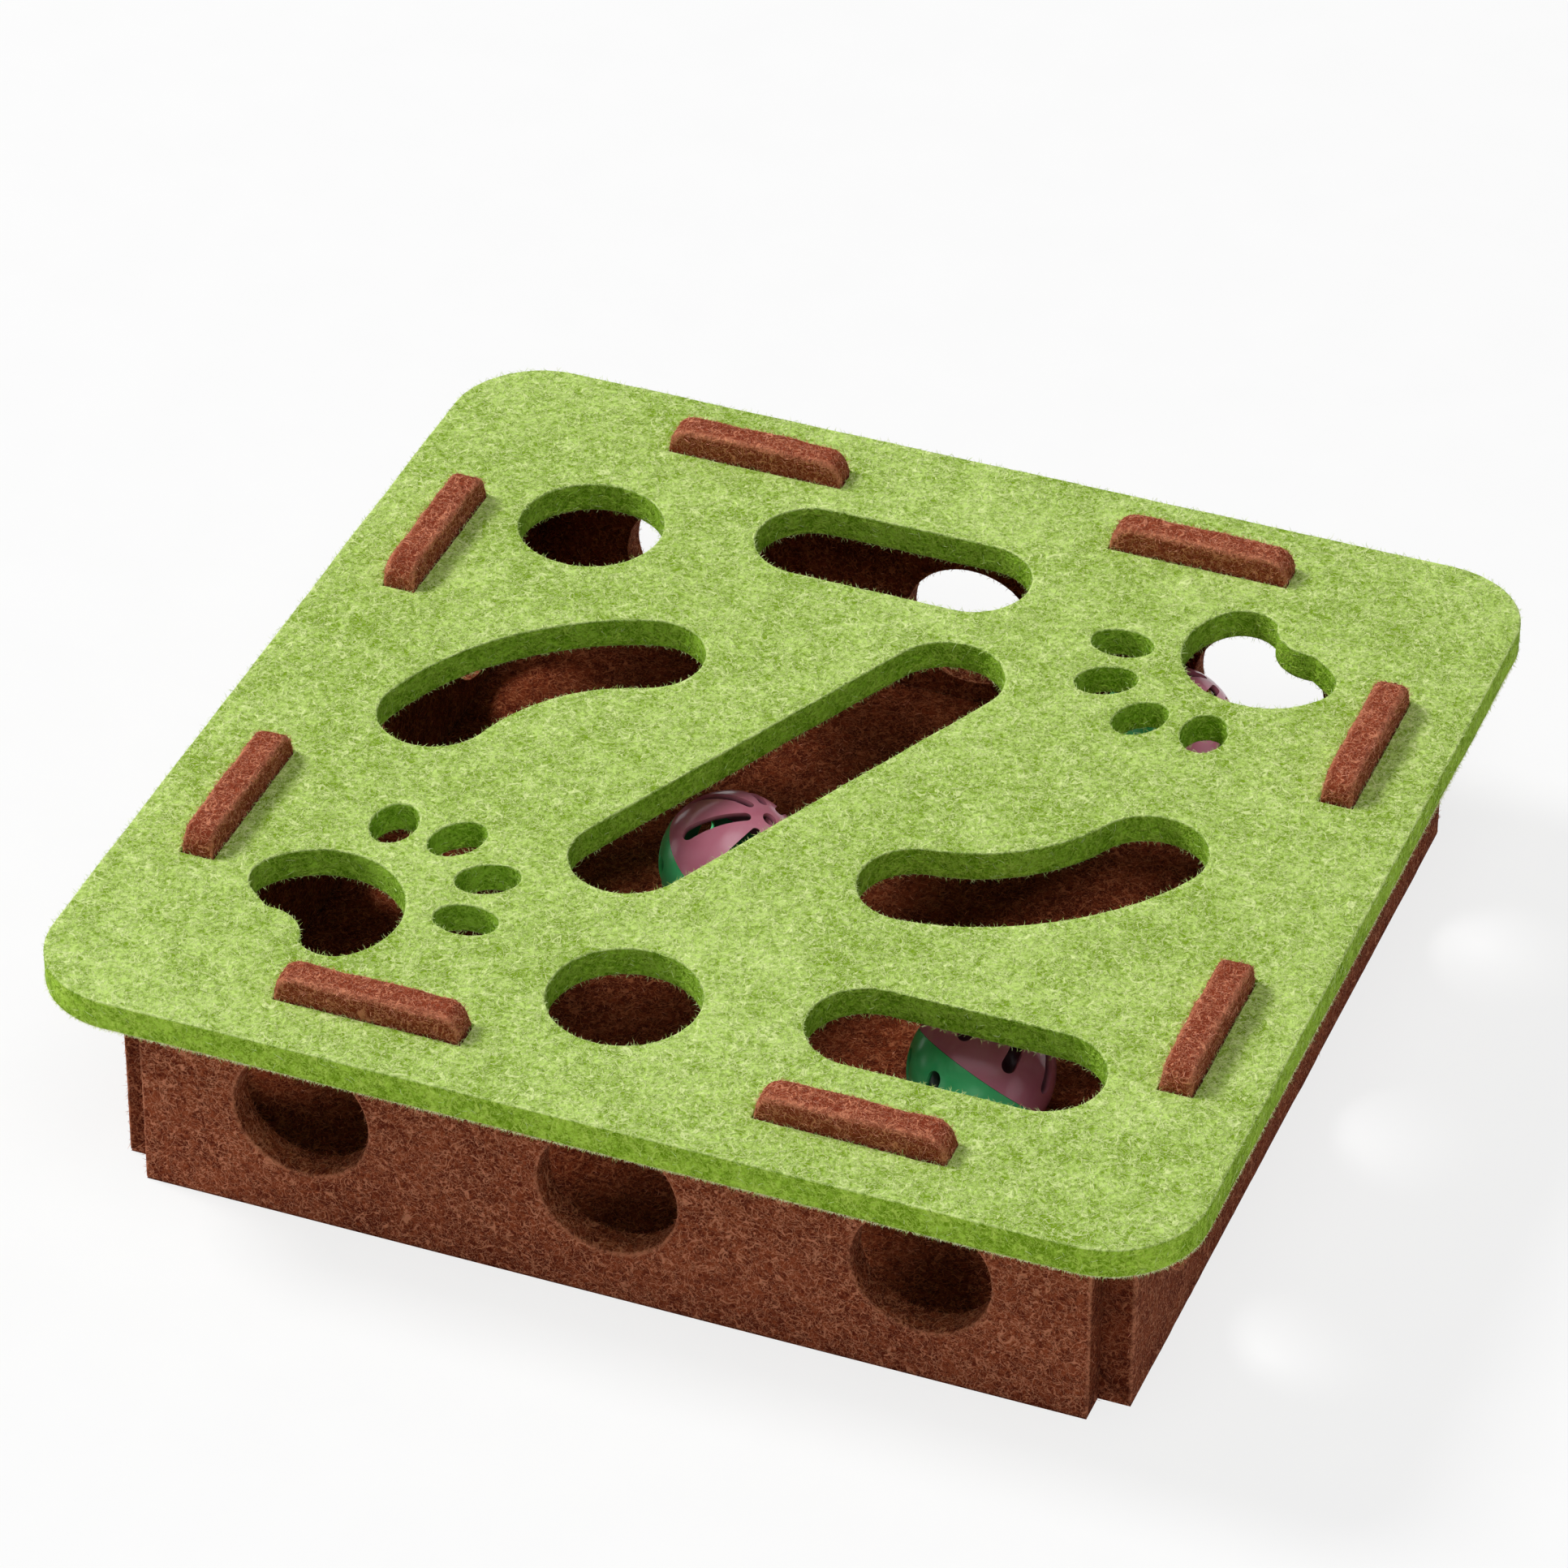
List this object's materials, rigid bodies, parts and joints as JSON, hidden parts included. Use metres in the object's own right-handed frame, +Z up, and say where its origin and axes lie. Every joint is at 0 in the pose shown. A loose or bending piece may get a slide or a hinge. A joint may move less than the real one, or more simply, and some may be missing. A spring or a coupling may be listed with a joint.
{
  "type": "cat maze toy box",
  "caption": "Shallow felt box with a lift-off lid full of play cut-outs, walls with round peep holes and tabs, and loose openwork bell balls inside for a cat to fish for.",
  "frame": {"origin": "on the ground under the middle of the tray", "axes": "+Z up, -Y towards the front wall, +X to the right"},
  "size_m": [0.3, 0.3, 0.075],
  "materials": {
    "green_felt": "heathered pressed felt",
    "brown_felt": "heathered pressed felt",
    "pink_plastic": "glossy moulded",
    "green_plastic": "glossy moulded",
    "bell_metal": "plated pressed sheet",
    "pellet_metal": "plain steel"
  },
  "bodies": {
    "tray": {"tray_floor": "brown_felt", "front_wall": "brown_felt", "right_wall": "brown_felt", "back_wall": "brown_felt", "left_wall": "brown_felt"},
    "lid": {"lid_panel": "green_felt"},
    "bell_1": {"ball_1_bell_crown": "bell_metal", "ball_1_bell_cup": "bell_metal"},
    "shell_1": {"ball_1_pink_half": "pink_plastic", "ball_1_green_half": "green_plastic"},
    "pellet_1": {"ball_1_pellet": "pellet_metal"},
    "bell_2": {"ball_2_bell_crown": "bell_metal", "ball_2_bell_cup": "bell_metal"},
    "shell_2": {"ball_2_pink_half": "pink_plastic", "ball_2_green_half": "green_plastic"},
    "pellet_2": {"ball_2_pellet": "pellet_metal"},
    "bell_3": {"ball_3_bell_crown": "bell_metal", "ball_3_bell_cup": "bell_metal"},
    "shell_3": {"ball_3_pink_half": "pink_plastic", "ball_3_green_half": "green_plastic"},
    "pellet_3": {"ball_3_pellet": "pellet_metal"}
  },
  "joints": [
    {"name": "lid_lift", "type": "slide", "parent": "tray", "child": "lid", "axis": [0, 0, 1], "range_m": [0, 0.1]},
    {"name": "ball_1_roll", "type": "slide", "parent": "tray", "child": "bell_1", "axis": [1, 0, 0], "range_m": [-0.0815, 0.1285]},
    {"name": "ball_1_turn", "type": "hinge", "parent": "bell_1", "child": "shell_1", "pos_m": [-0.0235, 0.009, 0.02755], "axis": [0, 1, 0], "range_deg": [-251, 394]},
    {"name": "ball_1_rattle", "type": "hinge", "parent": "bell_1", "child": "pellet_1", "pos_m": [-0.0235, 0.009, 0.0177], "axis": [0, 1, 0], "range_deg": [-60, 60]},
    {"name": "ball_2_roll", "type": "slide", "parent": "tray", "child": "bell_2", "axis": [1, 0, 0], "range_m": [-0.171, 0.039]},
    {"name": "ball_2_turn", "type": "hinge", "parent": "bell_2", "child": "shell_2", "pos_m": [0.066, -0.048, 0.02755], "axis": [0, 1, 0], "range_deg": [-524, 121]},
    {"name": "ball_2_rattle", "type": "hinge", "parent": "bell_2", "child": "pellet_2", "pos_m": [0.066, -0.048, 0.0177], "axis": [0, 1, 0], "range_deg": [-60, 60]},
    {"name": "ball_3_roll", "type": "slide", "parent": "tray", "child": "bell_3", "axis": [1, 0, 0], "range_m": [-0.168, 0.042]},
    {"name": "ball_3_turn", "type": "hinge", "parent": "bell_3", "child": "shell_3", "pos_m": [0.063, 0.1035, 0.02755], "axis": [0, 1, 0], "range_deg": [-515, 130]},
    {"name": "ball_3_rattle", "type": "hinge", "parent": "bell_3", "child": "pellet_3", "pos_m": [0.063, 0.1035, 0.0177], "axis": [0, 1, 0], "range_deg": [-60, 60]}
  ],
  "couplings": [
    {"joint": "ball_1_turn", "follows": "ball_1_roll", "rad_per_m": 53.333},
    {"joint": "ball_2_turn", "follows": "ball_2_roll", "rad_per_m": 53.333},
    {"joint": "ball_3_turn", "follows": "ball_3_roll", "rad_per_m": 53.333}
  ]
}
